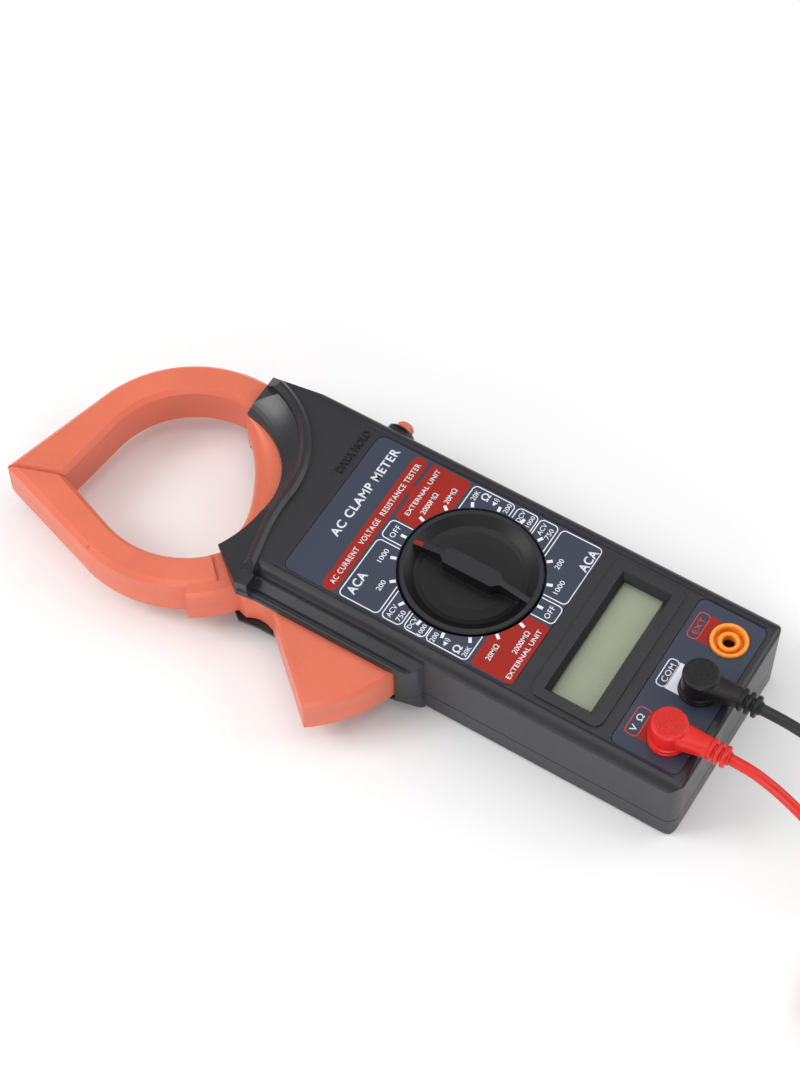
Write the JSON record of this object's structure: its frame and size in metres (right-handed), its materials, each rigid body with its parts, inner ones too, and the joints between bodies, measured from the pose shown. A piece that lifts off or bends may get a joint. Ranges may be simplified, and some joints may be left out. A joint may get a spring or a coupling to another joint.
{
  "type": "clamp meter",
  "caption": "Handheld clamp meter with a trigger-opened jaw, rotary selector, display, hold button, input jacks and plugged-in test leads with probes.",
  "frame": {"origin": "on the rest plane under the back of the case, straight below the centre of the rotary selector", "axes": "+X to the meter's right as its dial is read from the cord end, +Y along the body towards the jaws, +Z out of the dial"},
  "size_m": [0.1335, 0.3691, 0.0393],
  "materials": {
    "black_case": "fine satin, moulded",
    "steel": "plated",
    "blue_label": "printed film, satin",
    "grey_label": "printed film",
    "clear_window": "clear acrylic",
    "display_grey": "liquid crystal glass",
    "board_green": "solder mask",
    "black_parts": "moulded",
    "fuse_glass": "ceramic",
    "battery_wrap": "printed jacket",
    "orange_plastic": "satin, moulded",
    "core_steel": "laminated",
    "copper_tape": "wound wire under tape",
    "knob_black": "satin, moulded",
    "rotor_white": "moulded",
    "brass": "turned",
    "yellow_plastic": "moulded",
    "red_plastic": "soft moulded",
    "red_cable": "smooth jacket",
    "black_grip": "soft moulded",
    "black_cable": "smooth jacket",
    "nickel": "plated"
  },
  "bodies": {
    "meter": {"front_cover": "black_case", "rear_cover": "black_case", "battery_cover": "black_case", "battery_screw": "steel", "case_screws": "steel", "main_label": "blue_label", "jack_label": "blue_label", "rear_label": "grey_label", "display_window": "clear_window", "display_panel": "display_grey", "circuit_board": "board_green", "board_screws": "steel", "chip": "black_parts", "fuse": "fuse_glass", "buzzer": "black_parts", "hold_switch": "black_parts", "battery": "battery_wrap", "battery_snap": "black_parts", "fixed_jaw_front": "orange_plastic", "fixed_jaw_rear": "orange_plastic", "cradle_liner": "orange_plastic", "fixed_core": "core_steel", "pickup_coil": "copper_tape", "pivot_pin": "steel", "trigger_spring": "steel", "ext_jack": "yellow_plastic", "com_jack": "black_parts", "volt_jack": "red_plastic", "ext_socket": "brass", "com_socket": "brass", "volt_socket": "brass", "red_plug": "red_plastic", "red_plug_pin": "nickel", "red_lead": "red_cable", "red_coil": "red_cable", "red_probe": "red_plastic", "red_probe_tip": "nickel", "black_plug": "black_grip", "black_plug_pin": "nickel", "black_lead": "black_cable", "black_coil": "black_cable", "black_probe": "black_grip", "black_probe_tip": "nickel"},
    "jaw": {"moving_jaw_front": "orange_plastic", "moving_jaw_rear": "orange_plastic", "moving_core": "core_steel"},
    "knob": {"selector_knob": "knob_black", "knob_rotor": "rotor_white", "knob_wipers": "brass"},
    "button": {"hold_button": "orange_plastic"}
  },
  "joints": [
    {"name": "jaw_hinge", "type": "hinge", "parent": "meter", "child": "jaw", "pos_m": [-0.023, 0.05, 0.0145], "axis": [0, 0, 1], "range_deg": [0, 32], "stiffness_Nm_per_rad": 0.8, "springref_deg": -22.92},
    {"name": "knob_turn", "type": "hinge", "parent": "meter", "child": "knob", "pos_m": [0, 0, 0.032], "axis": [0, 0, 1], "continuous": true},
    {"name": "hold_press", "type": "slide", "parent": "meter", "child": "button", "axis": [-1, 0, 0], "range_m": [0, 0.0015], "stiffness_N_per_m": 500, "springref_m": -0.001}
  ]
}
